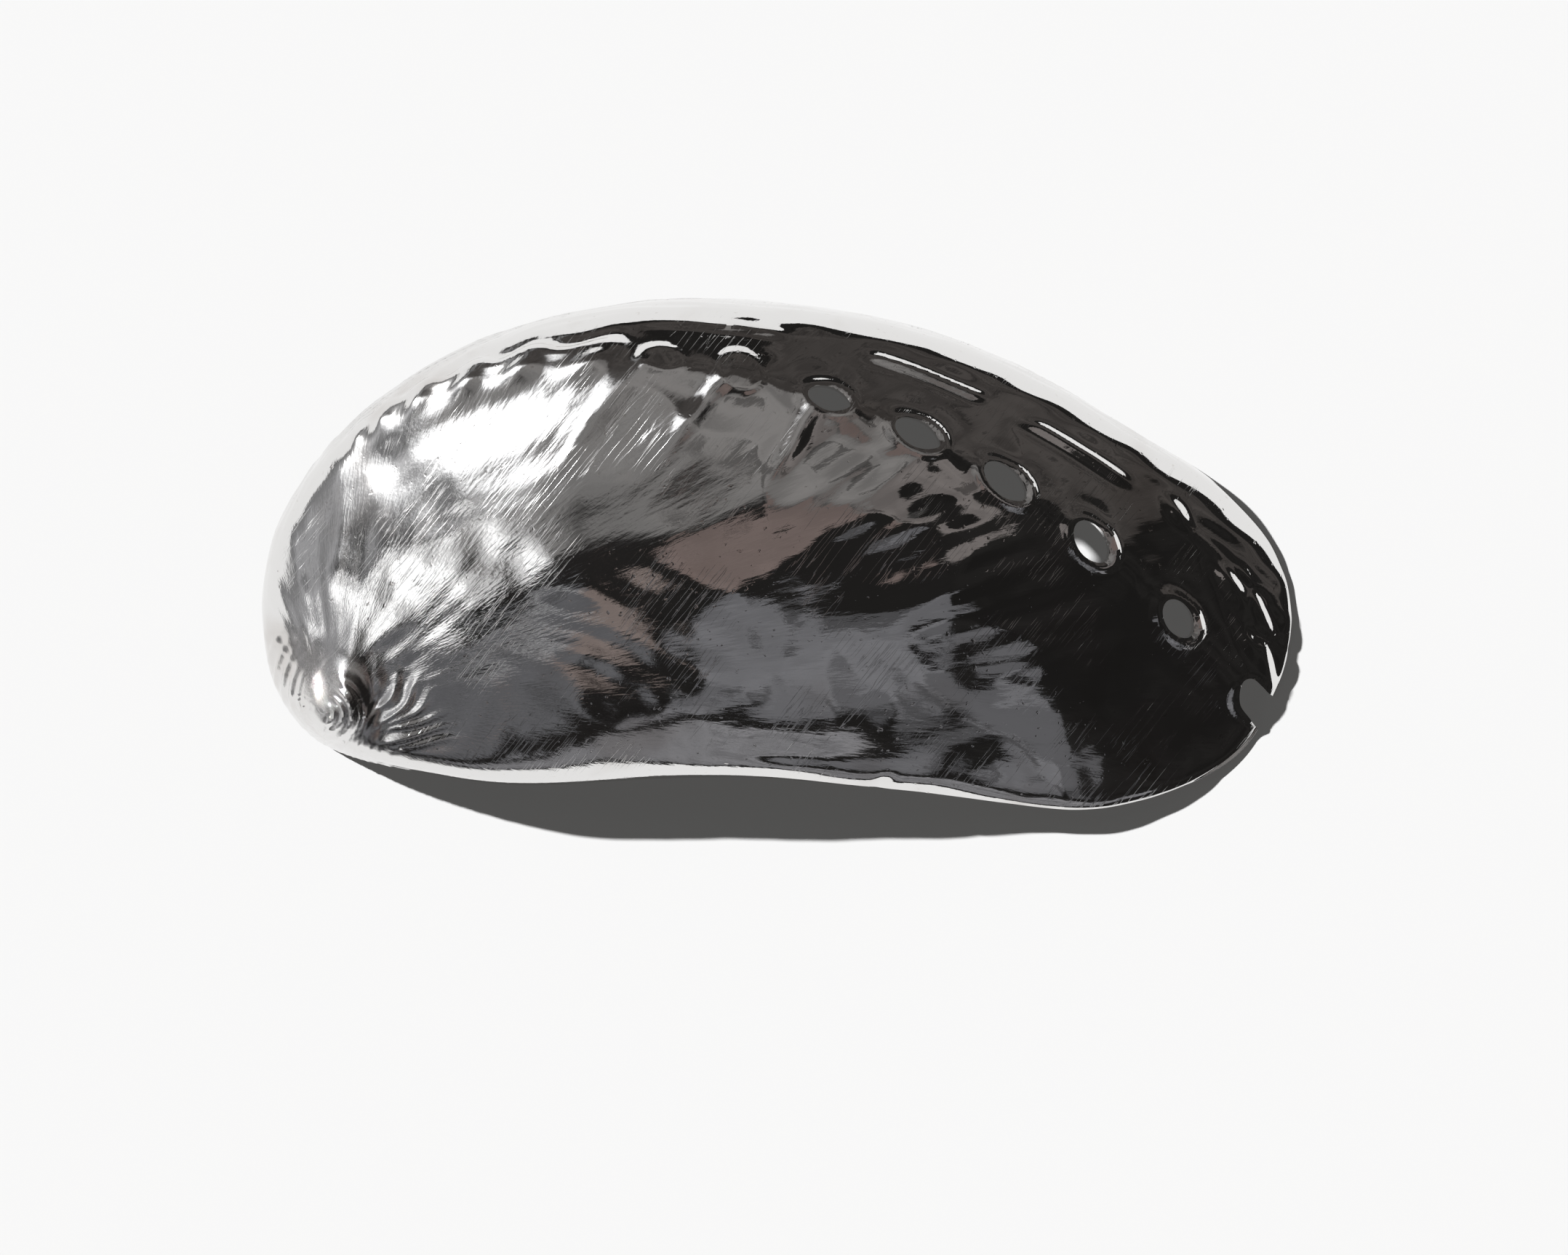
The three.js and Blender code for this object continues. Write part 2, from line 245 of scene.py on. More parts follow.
def edge_harmonics():
    """Complex weights of the edge's Fourier series in the disc's angle: x, y, edge height and wall height."""
    curve = closed_curve(EDGE_STATIONS, CURVE_STEPS)
    bearing = np.arctan2(curve[:, 1] / DRAWN_WIDTH, curve[:, 0] / DRAWN_LENGTH)
    order = np.argsort(bearing)
    angles = np.arange(EDGE_SAMPLES) * 2 * np.pi / EDGE_SAMPLES
    samples = np.stack([
        np.interp(angles, bearing[order], column[order], period=2 * np.pi) for column in curve.T])
    weights = np.fft.rfft(samples)[:, :HARMONICS + 1] / EDGE_SAMPLES
    weights[:, 1:] *= 2
    return weights


HARMONIC_WEIGHTS = edge_harmonics()


def spanned_sheet(disc):
    """x, y, edge height and wall height at complex points of the unit disc: the edge's series with each
    harmonic times the radius to its order, which is the real part of a polynomial of the point."""
    total = np.zeros((4,) + disc.shape, complex)
    for weight in HARMONIC_WEIGHTS.T[::-1]:
        total = total * disc + weight.reshape(4, *([1] * disc.ndim))
    return total.real


def bell(distance):
    """1 at zero, falling smoothly to nothing at about twice the unit distance: exp(-d squared)."""
    return np.exp(-distance * distance)


def ramp(value, start, end):
    """0 before start, 1 after end, and 3t squared minus 2t cubed between."""
    t = np.clip((value - start) / (end - start), 0, 1)
    return t * t * (3 - 2 * t)


def window(value, span):
    """1 within a span and 0 outside it, with smooth ends."""
    rise, full, fall, gone = span
    return ramp(value, rise, full) * (1 - ramp(value, fall, gone))


def band(value, shape):
    """A rounded ridge or groove of a given height, middle and half width: height times the bell."""
    height, middle, half_width = shape
    return height * bell((value - middle) / half_width)


def noise(x, y, seed):
    """Smooth noise, mostly between -1 and 1: nine sine waves, about two units long, in directions drawn at
    random."""
    draw = np.random.default_rng(seed)
    heading, pace, phase = (draw.uniform(low, high, 9) for low, high in ((0, 6.28), (1.6, 4.0), (0, 6.28)))
    waves = [
        np.sin((x * math.cos(way) + y * math.sin(way)) * speed + start)
        for way, speed, start in zip(heading, pace, phase)]
    return sum(waves) / 3.6


def growth_place(x, y):
    """Where plan points lie on the spiral of growth: reach from the spire's tip, step back along the pore
    row, and cord, the natural log of the reach over the row's reach on the same bearing."""
    along, up = x - SPIRE_TIP[0], y - SPIRE_TIP[1]
    reach = np.hypot(along, up)
    bearing = (np.arctan2(up, along) + BEARING_CUT) % (2 * np.pi) - BEARING_CUT
    step = np.interp(bearing, ROW_BEARINGS, ROW_STEPS)
    cord = np.log(np.maximum(reach, 0.3) / ROW_REACH) + ROW_TIGHTNESS * bearing
    return reach, step, cord


def pore_frame(step, turn):
    """Plan centre of the pore at that step of the row, and the unit vector of its long axis."""
    bearing = np.interp(step, ROW_STEPS, ROW_BEARINGS)
    towards = np.exp(1j * bearing)
    centre = complex(*SPIRE_TIP) + ROW_REACH * math.exp(-ROW_TIGHTNESS * bearing) * towards
    heading = towards * complex(ROW_TIGHTNESS, -1) * ROW_SLANT
    return centre, heading * np.exp(-1j * math.radians(turn))


def across_row(reach, cord):
    """Distance across the pore row, positive towards the edge."""
    return reach * (1 - np.exp(-cord)) * ROW_SLANT


def oval_place(x, y, at_x, at_y, turn):
    """Plan points as complex numbers along and across an oval turned by degrees."""
    return (x - at_x + 1j * (y - at_y)) * np.exp(-1j * math.radians(turn))


def row_swelling(x, y):
    """The low rounded ridge that carries the pore row: a bell of the distance across the spiral."""
    reach, step, cord = growth_place(x, y)
    return band(across_row(reach, cord), ROW_RIDGE) * window(step, ROW_RIDGE_SPAN)


def spire_swelling(x, y):
    """The rounded knob at the spire."""
    return band(np.hypot(x - SPIRE_TIP[0], y - SPIRE_TIP[1]), SPIRE_KNOB)


def pore_relief(x, y):
    """Round each open pore: a rounded inner brim, a flat collar, a hollow behind it and a crescent lip round
    its newer end. Sealed pores get a ring and the notch a rim."""
    total = np.zeros_like(x)
    for step, length, width, turn, _, crescent in OPEN_PORES:
        centre, axis = pore_frame(step, turn)
        local = (x + 1j * y - centre) * np.conj(axis)
        oval = np.hypot(local.real * 2 / length, local.imag * 2 / width)
        outside = (oval - 1) * math.sqrt(length * width) / 2
        newer = ramp(np.cos(np.angle(local) - 0.35), -0.35, 0.9)
        older = ramp(-np.cos(np.angle(local) + 0.3), 0.1, 1.0)
        total += crescent * newer * band(outside, CRESCENT)
        total += band(outside, COLLAR)
        total += older * band(outside, OLDER_HOLLOW)
        total -= BRIM_DROP * (1 - ramp(outside, -0.15, 0.16))
    for at_x, at_y, length, width, turn, height in SEALED_RINGS:
        local = oval_place(x, y, at_x, at_y, turn)
        oval = np.hypot(local.real * 2 / length, local.imag * 2 / width)
        outside = (oval - 1) * math.sqrt(length * width) / 2
        total += height * (bell(outside / SEALED_RING_HALF_WIDTH) - SEALED_RING_DIP * bell(oval / 0.6))
    beyond = np.abs(x + 1j * y - NOTCH_MIDDLE) - NOTCH_RADIUS
    return total + band(beyond, NOTCH_RIM) * ramp(NOTCH_MIDDLE.real + 1.5 - x, 0, 1)


def row_relief(x, y):
    """Sealed knobs behind the open pores with a crisp scalloped upper edge, a broken keel line above the row,
    nodules on the outer slope, and oblique folds running down from the row towards the spire."""
    reach, step, cord = growth_place(x, y)
    across = across_row(reach, cord)
    scale = np.exp(-KNOB_SHRINK * np.clip(step - 6, 0, 14))
    beat = 0.5 + 0.5 * np.cos(2 * np.pi * step)
    sealed = window(step, SEALED_SPAN)
    knob = KNOB_HEIGHT * scale * beat ** 1.3 * bell((across - 0.4) / (KNOB_HALF_WIDTH * scale)) * sealed
    scallop = across - (1.9 + 0.9 * beat) * scale
    brow = bell((scallop + 0.3) / BROW_HALF_WIDTH) - 1.3 * bell((scallop - 0.55) / BROW_HALF_WIDTH)
    brow *= BROW_HEIGHT * ramp(step, 7.3, 8.6) * sealed * scale
    open_row = window(step, OPEN_SPAN)
    broken = ramp(noise(step * 1.3 + 3.1, cord * 4, 5), -0.75, -0.15)
    keel = open_row * broken * (band(cord, KEEL) + band(cord, KEEL_GROOVE))
    nodules = open_row * (0.5 + 0.5 * np.cos(2 * np.pi * (step * 1.5 + 0.2))) * band(cord, NODULES)
    phase = step - FOLD_SLANT * cord
    below = ramp(-cord, 0.02, 0.10) * (1 - 0.95 * ramp(-cord, 0.10, 0.50)) * window(step, FOLD_SPAN)
    ridged = 1 - 2 * np.abs(noise(phase * 1.3 + 0.3, cord * 3.5, 7))
    fine = noise(phase * 5.5, cord * 5, 9)
    folds = below * reach / 50 * (FOLD_HEIGHT * ridged + FINE_FOLD_HEIGHT * fine)
    folds *= 1 - 0.7 * ramp(step, 6.5, 9.5)
    return knob + brow + keel + nodules + folds


def spire_relief(x, y):
    """The coil of the spire, the grooves that wind into it from the flank, and the wrinkles fanning out of
    its hollow. The coil's suture and the grooves are spirals: log reach falls as the turn grows."""
    along, up = x - SPIRE_TIP[0], y - SPIRE_TIP[1]
    reach = np.maximum(np.hypot(along, up), 0.05)
    turn = np.arctan2(up, along)
    whorl = 2 * np.pi * (reach / COIL_SPACING + COIL_TWIST * turn)
    coil = COIL_HEIGHT * (np.cos(whorl) + 0.35 * np.cos(2 * whorl))
    coil *= window(turn, (-2.0, -1.2, 0.7, 1.3)) * (1 - ramp(reach, 2.6, 3.6))
    suture = band(reach, SUTURE) * window(turn, (-1.9, -1.3, 0.75, 1.05))
    late = (turn - 0.9) % (2 * np.pi) + 0.9
    winding = np.log(reach) + GROOVE_WINDING * late
    wander = 1.3 * noise(turn * 1.1, winding * 2.0, 23)
    grooves = GROOVE_HEIGHT * (1 - 1.9 * np.abs(np.sin(np.pi * winding / GROOVE_SPACING + wander)))
    grooves *= window(late, (1.9, 2.8, 5.2, 5.9)) * window(reach, (0.8, 1.6, 9, 15))
    grooves *= np.minimum(reach / 4, 1.5)
    return coil + suture + grooves + fan_relief(x, y) + ray_relief(reach, turn)


def fan_relief(x, y):
    """Wrinkles fanning out of the hollow beside the spire: ribs of the bearing from its middle, wandering."""
    bearing = np.arctan2(y - FAN_MIDDLE[1], x - FAN_MIDDLE[0])
    reach = np.hypot(x - FAN_MIDDLE[0], y - FAN_MIDDLE[1])
    ribs = 1 - 1.9 * np.abs(np.sin(FAN_RIBS * bearing + 1.6 * noise(bearing * 3, reach * 0.3, 21)))
    return FAN_HEIGHT * ribs * window(reach, (1.2, 4.0, 6.5, 11.0)) * window(bearing, (-0.12, 0.08, 1.0, 1.5))


def ray_relief(reach, turn):
    """Fine rays out of the spire, strongest on the flank: noise that is long in reach and short in turn."""
    level = np.log(reach + 1)
    rays = noise(turn * 7.0, level * 2.2, 25) + 0.4 * noise(turn * 19.0, level * 3.0, 27)
    height = RAY_HEIGHT + FLANK_RAY_HEIGHT * ramp(turn, 1.15, 1.7)
    return rays * height * window(reach, (4, 8, 16, 26)) * ramp(turn, 0.1, 0.4)


def form_relief(x, y):
    """The single swellings and dents, each a bell over its own tilted oval."""
    total = np.zeros_like(x)
    for at_x, at_y, half_length, half_width, turn, height in FORMS:
        local = oval_place(x, y, at_x, at_y, turn)
        total += height * bell(np.hypot(local.real / half_length, local.imag / half_width))
    return total


def hand_relief(x, y):
    """Slow unevenness of the whole skin, in three sizes, and faint lines along the pore row."""
    reach, step, cord = growth_place(x, y)
    slow = SLOW_HEIGHT * noise(x / 13 + 0.15 * y / 13, y / 9, 31)
    middling = MIDDLING_HEIGHT * noise(x / 5.6 + y / 9, y / 4.2 - x / 12, 33)
    small = SMALL_HEIGHT * noise(x / 2.3 + y / 5, y / 1.9, 35)
    lines = ROW_LINE_HEIGHT * noise(step * 1.4, cord * 11, 37) * ramp(reach, 14, 30)
    return slow + middling + small + lines


def skin_relief(x, y):
    """All relief of the outer skin, in mm along its normal."""
    return pore_relief(x, y) + row_relief(x, y) + spire_relief(x, y) + form_relief(x, y) + hand_relief(x, y)


def even_radius(share):
    """Disc radius at that share of the way from the middle to the edge, measured along a middling section."""
    radius = np.sin(np.linspace(0, np.pi / 2, SECTION_STEPS))
    rise = SECTION_WALL * np.sqrt(1 - radius ** WALL_SHARPNESS)
    path = np.concatenate([[0], np.cumsum(np.hypot(np.diff(radius) * SECTION_REACH, np.diff(rise)))])
    return np.interp(share * path[-1], path, radius)


def disc_of(place):
    """Disc points of complex places whose size is the share of the way to the edge."""
    size = np.abs(place)
    return place * even_radius(np.minimum(size, 1)) / np.maximum(size, 1e-9)


def wall_relief(place):
    """Growth creases along the side wall, nearly level and broken. They need a high wall, so the lip is
    smooth."""
    around, size = np.angle(place) * 9, np.abs(place)
    high = ramp(spanned_sheet(disc_of(place))[3], 3.0, 8.0)
    creases = 1 - 2 * np.abs(noise(around * 0.5, size * 44 + 0.35 * np.sin(around), 41))
    bumps = noise(around * 1.1, size * 13, 43)
    return high * (CREASE_HEIGHT * creases + BUMP_HEIGHT * bumps) * window(size, (0.78, 0.87, 0.965, 0.995))


def smooth_skin(place, crown):
    """The skin without its fine relief, above those places:
    z = edge + wall * rise + crown * lean * (1 - r squared) + rise * swellings, where rise is the square root
    of 1 - r to the wall's sharpness."""
    disc = disc_of(place)
    radius = np.abs(disc)
    x, y, edge, wall = spanned_sheet(disc)
    rise = np.sqrt(np.maximum(1 - radius ** WALL_SHARPNESS, 0)) * (radius < 0.999999)
    lean = 1 + CROWN_LEAN.real * disc.imag + CROWN_LEAN.imag * disc.real
    edge = np.where((radius > 0.99999) & (edge < RESTING_BAND), 0, np.maximum(edge, 0))
    swelling = row_swelling(x, y) + spire_swelling(x, y)
    z = edge + wall * rise + crown * lean * (1 - radius ** 2) + rise * swelling
    return np.stack([x, y, z], -1)


def skin_normal(place, crown):
    """Unit normals of the smooth skin, from steps of 1/2000 either way; level at the edge."""
    step = 0.0005
    sides = [smooth_skin(place + way, crown) for way in (step, -step, 1j * step, -1j * step)]
    normal = np.cross(sides[0] - sides[1], sides[2] - sides[3])
    normal[..., 2] = np.where(np.abs(place) > 0.99999, 0, normal[..., 2])
    return normal / np.linalg.norm(normal, axis=-1, keepdims=True)


def place_grid(columns, rows):
    """A grid over the unit disc: x = u sqrt(1 - v squared / 2), y = v sqrt(1 - u squared / 2)."""
    u, v = np.meshgrid(np.linspace(-1, 1, columns + 1), np.linspace(-1, 1, rows + 1), indexing="ij")
    return u * np.sqrt(1 - v * v / 2) + 1j * v * np.sqrt(1 - u * u / 2)


def gathered(place):
    """The places of a grid drawn together round the spire, where the relief is finest. Nearness is a bell of
    the distance in size and angle, and each place moves a share of its way towards the spire's."""
    spire = disc_place(np.array([complex(*SPIRE_TIP)]))[0] * 0.96
    size, angle = np.abs(place), np.angle(place)
    off_size = size - abs(spire)
    off_angle = (angle - np.angle(spire) + np.pi) % (2 * np.pi) - np.pi
    near = bell(off_angle / GATHER_ANGLE) * ramp(size, 0.05, 0.45)
    angle = angle - GATHER_SHARE * off_angle * near
    size = size - GATHER_SHARE * off_size * near * bell(off_size / GATHER_SIZE) * ramp(1 - size, 0, 0.05)
    return size * np.exp(1j * angle)


def ring_of(columns, rows):
    """Grid indices of the boundary, counter-clockwise."""
    index = np.arange((columns + 1) * (rows + 1)).reshape(columns + 1, rows + 1)
    return np.concatenate([index[:-1, 0], index[-1, :-1], index[:0:-1, -1], index[0, :0:-1]])


def grid_quads(columns, rows):
    """Corner indices of every grid cell, counter-clockwise."""
    index = np.arange((columns + 1) * (rows + 1)).reshape(columns + 1, rows + 1)
    return np.stack([index[:-1, :-1], index[1:, :-1], index[1:, 1:], index[:-1, 1:]], -1).reshape(-1, 4)


def shell_arrays(sizes):
    """Vertices in mm, and the quads and triangles of the closed wall."""
    crown, wall = sizes.crown / MM, sizes.wall / MM
    columns, rows = sizes.columns, sizes.rows
    outer = gathered(place_grid(columns, rows))
    skin = smooth_skin(outer, crown)
    normal = skin_normal(outer, crown)
    gentle = 0.3 + 0.7 * ramp(normal[..., 2], 0.2, 0.65)
    depth = skin_relief(skin[..., 0], skin[..., 1]) * gentle * ramp(1 - np.abs(outer), 0, 0.05)
    depth = (depth + wall_relief(outer)) * sizes.relief
    skin = skin + normal * depth[..., None]
    skin[..., 2] = np.maximum(skin[..., 2], 0)
    inner = place_grid(columns // 2, rows // 2)
    lining = smooth_skin(inner, crown) - skin_normal(inner, crown) * wall
    lining[..., 2] = np.maximum(lining[..., 2], 0)
    start = outer.size
    points = np.concatenate([skin.reshape(-1, 3), lining.reshape(-1, 3)])
    quads = np.concatenate([grid_quads(columns, rows), grid_quads(columns // 2, rows // 2)[:, ::-1] + start])
    rim, hem = ring_of(columns, rows), ring_of(columns // 2, rows // 2) + start
    first, middle, last = rim[0::2], rim[1::2], np.roll(rim, -2)[0::2]
    here, there = hem, np.roll(hem, -1)
    bridges = ((middle, first, here), (middle, here, there), (middle, there, last))
    triangles = np.concatenate([np.stack(corners, -1) for corners in bridges])
    return points, quads, triangles


def cutter_arrays(sizes):
    """Rods through the wall, one for each open pore and one for the notch, as vertices in mm and faces."""
    crown = sizes.crown / MM
    rods = []
    angles = np.arange(CUTTER_STEPS) * 2 * np.pi / CUTTER_STEPS
    for step, length, width, turn, point, _ in OPEN_PORES:
        centre, axis = pore_frame(step, turn)
        pinch = 1 - point * np.maximum(np.cos(angles), 0) ** 2
        outline = centre + axis * (np.cos(angles) * length / 2 + 1j * np.sin(angles) * pinch * width / 2)
        spot = disc_place(np.array([centre]))
        height = smooth_skin(spot, crown)[0, 2]
        lean = skin_normal(spot, crown)[0, :2] * CUTTER_LEAN
        rods.append((outline, height, lean))
    notch = closed_curve(NOTCH_OUTLINE.view(complex), CUTTER_STEPS)[:, 0]
    rods.append((notch, NOTCH_HEIGHT, np.zeros(2)))
    points, faces = [], []
    for number, (outline, height, lean) in enumerate(rods):
        count = len(outline)
        for side in (-CUTTER_HALF_HEIGHT, CUTTER_HALF_HEIGHT):
            ends = outline + complex(*lean) * side
            points.append(np.stack([ends.real, ends.imag, np.full(count, height + side)], -1))
        base = number * 2 * count
        ring = np.arange(count)
        following = np.roll(ring, -1)
        faces += (base + np.stack([ring, following, following + count, ring + count], -1)).tolist()
        faces += [(base + ring[::-1]).tolist(), (base + count + ring).tolist()]
    return np.concatenate(points), faces


def disc_place(plan):
    """Places on the skin above complex plan points: each guess is moved by what it still misses."""
    goal = np.stack([plan.real, plan.imag])
    disc = (goal[0] / DRAWN_LENGTH + 1j * goal[1] / DRAWN_WIDTH) * 2
    for _ in range(60):
        miss = goal - spanned_sheet(disc)[:2]
        disc = disc + 2 * (miss[0] / DRAWN_LENGTH + 1j * miss[1] / DRAWN_WIDTH)
    shares = np.linspace(0, 1, 2000)
    size = np.abs(disc)
    return disc / size * np.interp(size, even_radius(shares), shares)


# --- Meshes and materials ----------------------------------------------------------------------------------

def mesh_object(name, points, faces):
    """An object at the origin from vertices in mm and faces."""
    mesh = bpy.data.meshes.new(name)
    mesh.from_pydata((points * FIT * MM).tolist(), [], faces)
    mesh.update()
    obj = bpy.data.objects.new(name, mesh)
    bpy.context.scene.collection.objects.link(obj)
    return obj


def add_growth_map(obj):
    """UVs for the finish: steps along the pore row by cords across it."""
    mesh = obj.data
    spots = np.empty(len(mesh.vertices) * 3)
    mesh.vertices.foreach_get("co", spots)
    spots = spots.reshape(-1, 3) / MM / FIT
    _, step, cord = growth_place(spots[:, 0], spots[:, 1])
    corners = np.empty(len(mesh.loops), int)
    mesh.loops.foreach_get("vertex_index", corners)
    layer = mesh.uv_layers.new(name="growth")
    layer.data.foreach_set("uv", np.stack([step, cord], -1)[corners].ravel())


class Nodes:
    """Short calls for adding and joining nodes in one tree."""

    def __init__(self, tree):
        self.tree = tree

    def add(self, kind, **settings):
        """A node with its settings, and its input values under their socket names or numbers."""
        values = settings.pop("inputs", {})
        node = self.tree.nodes.new(kind)
        for key, value in settings.items():
            setattr(node, key, value)
        for key, value in values.items():
            self.feed(node.inputs[key], value)
        return node

    def feed(self, socket, value):
        """Join an output to the socket, or set the socket's value."""
        if isinstance(value, bpy.types.NodeSocket):
            self.tree.links.new(value, socket)
        else:
            socket.default_value = value

    def math(self, operation, *values):
        """A math node's output."""
        return self.add("ShaderNodeMath", operation=operation, inputs=dict(enumerate(values))).outputs[0]

    def span(self, value, low, high, to_low=0.0, to_high=1.0):
        """The value mapped smoothly from one range to another."""
        ranges = {"Value": value, "From Min": low, "From Max": high, "To Min": to_low, "To Max": to_high}
        node = self.add("ShaderNodeMapRange", interpolation_type="SMOOTHSTEP", inputs=ranges)
        return node.outputs["Result"]

    def blend(self, share, first, second):
        """A colour mixed from two."""
        node = self.add("ShaderNodeMix", data_type="RGBA")
        for socket, value in zip((node.inputs[0], node.inputs[6], node.inputs[7]), (share, first, second)):
            self.feed(socket, value)
        return node.outputs[2]

    def noise(self, vector, scale, detail=2.0, **settings):
        """A noise texture's value."""
        inputs = {"Vector": vector, "Scale": scale, "Detail": detail}
        return self.add("ShaderNodeTexNoise", inputs=inputs, **settings).outputs["Fac"]


def new_group(name, inputs, outputs):
    """A shader node group with named sockets, and calls for filling it."""
    group = bpy.data.node_groups.new(name, "ShaderNodeTree")
    for direction, sockets in (("INPUT", inputs), ("OUTPUT", outputs)):
        for label, kind, *value in sockets:
            socket = group.interface.new_socket(label, in_out=direction, socket_type=kind)
            if value:
                socket.default_value = value[0]
    nodes = Nodes(group)
    return group, nodes, nodes.add("NodeGroupInput").outputs, nodes.add("NodeGroupOutput").inputs


def polishing_marks():
    """Group: fine scratches in one direction, as a mask, from coordinates in metres."""
    sockets = [
        ("Place", "NodeSocketVector"), ("Turn", "NodeSocketFloat", 0.9),
        ("Spacing", "NodeSocketFloat", 1500.0)]
    group, nodes, given, result = new_group("Polishing marks", sockets, [("Mask", "NodeSocketFloat")])
    turned = nodes.add("ShaderNodeVectorRotate", rotation_type="Z_AXIS", inputs={
        "Vector": given["Place"], "Angle": nodes.math("MULTIPLY", given["Turn"], -1.0)})
    streak = nodes.add("ShaderNodeMapping", inputs={"Vector": turned.outputs[0], "Scale": (0.05, 1.0, 0.05)})
    wave = nodes.noise(streak.outputs[0], given["Spacing"], 3.0)
    away = nodes.math("ABSOLUTE", nodes.math("SUBTRACT", wave, 0.5))
    thin = nodes.span(away, 0.0, 0.016, 1.0, 0.0)
    patches = nodes.span(nodes.noise(given["Place"], 160.0, 1.0), 0.45, 0.62)
    nodes.feed(result["Mask"], nodes.math("MULTIPLY", thin, patches))
    return group


# Roughness of the mirror and of the worked shoulder, and what stains and polishing marks add to it.
MIRROR_ROUGHNESS = 0.035
WORKED_ROUGHNESS = 0.125
STAIN_ROUGHNESS = 0.05
MARK_ROUGHNESS = 0.16
STAIN_SHARE = 0.5
PIT_SHARE = 0.5
# Depths in metres.
GRAIN_DEPTH = 0.000016
WORKED_GRAIN_DEPTH = 0.000024
PIT_DEPTH = 0.000010
MARK_DEPTH = 0.000003
HAMMERING_DEPTH = 0.000006
# The worked shoulder: an oval about (-24, 10) mm, full inside the first reach and gone past the second.
SHOULDER_SCALE = (0.75, 1.25, 0.0)
SHOULDER_SHIFT = (0.018, -0.0125, 0.0)
SHOULDER_FULL = 0.006
SHOULDER_GONE = 0.022


def silver_material(finish):
    """Polished silver: a mirror with stains, polishing marks, fine pitting and growth lines, and a duller,
    more worked patch on the shoulder."""
    material = bpy.data.materials.new("Polished silver")
    material.use_nodes = True
    tree = material.node_tree
    tree.nodes.clear()
    nodes = Nodes(tree)
    place = nodes.add("ShaderNodeTexCoord").outputs["Object"]
    growth = nodes.add("ShaderNodeUVMap", uv_map="growth").outputs["UV"]
    marks = nodes.add("ShaderNodeGroup", node_tree=polishing_marks(), inputs={"Place": place}).outputs["Mask"]
    from_shoulder = nodes.add("ShaderNodeVectorMath", operation="MULTIPLY_ADD", inputs={
        0: place, 1: SHOULDER_SCALE, 2: SHOULDER_SHIFT})
    reach = nodes.add("ShaderNodeVectorMath", operation="LENGTH", inputs={0: from_shoulder.outputs[0]})
    worked = nodes.span(reach.outputs["Value"], SHOULDER_FULL, SHOULDER_GONE, 1.0, 0.0)
    cloud = nodes.noise(place, 95.0, 4.0)
    pits = nodes.span(nodes.noise(place, 1500.0, 2.0), 0.66, 0.8)
    lines = nodes.add("ShaderNodeMapping", inputs={"Vector": growth, "Scale": (9.0, 16.0, 1.0)})
    grain = nodes.noise(lines.outputs[0], 1.0, 5.0)
    hammering = nodes.noise(place, 3200.0, 2.0)
    stain = nodes.span(cloud, 0.52, 0.74)
    tarnish = (*finish.tarnish, 1)
    colour = nodes.blend(nodes.math("MULTIPLY", stain, STAIN_SHARE), (*finish.metal, 1), tarnish)
    colour = nodes.blend(nodes.math("MULTIPLY", pits, PIT_SHARE), colour, tarnish)
    rough = nodes.span(worked, 0.0, 1.0, MIRROR_ROUGHNESS, WORKED_ROUGHNESS)
    rough = nodes.math("ADD", rough, nodes.math("MULTIPLY", stain, STAIN_ROUGHNESS))
    rough = nodes.math("ADD", rough, nodes.math("MULTIPLY", marks, MARK_ROUGHNESS))
    height = nodes.math("MULTIPLY", grain, nodes.span(worked, 0.0, 1.0, GRAIN_DEPTH, WORKED_GRAIN_DEPTH))
    height = nodes.math("SUBTRACT", height, nodes.math("MULTIPLY", pits, PIT_DEPTH))
    height = nodes.math("SUBTRACT", height, nodes.math("MULTIPLY", marks, MARK_DEPTH))
    hammered = nodes.math("MULTIPLY", nodes.math("MULTIPLY", hammering, worked), HAMMERING_DEPTH)
    height = nodes.math("ADD", height, hammered)
    bump = nodes.add("ShaderNodeBump", inputs={"Height": height, "Distance": 1.0, "Strength": 1.0})
    metal = nodes.add("ShaderNodeBsdfPrincipled", inputs={
        "Base Color": colour, "Metallic": 1.0, "Roughness": rough, "Normal": bump.outputs["Normal"]})
    nodes.add("ShaderNodeOutputMaterial", inputs={"Surface": metal.outputs["BSDF"]})
    return material


def plain_material(name, colour, roughness):
    """One even colour."""
    material = bpy.data.materials.new(name)
    material.use_nodes = True
    surface = material.node_tree.nodes["Principled BSDF"].inputs
    surface["Base Color"].default_value = (*colour, 1)
    surface["Roughness"].default_value = roughness
    surface["Specular IOR Level"].default_value = 0.0
    return material


# --- The stage ---------------------------------------------------------------------------------------------

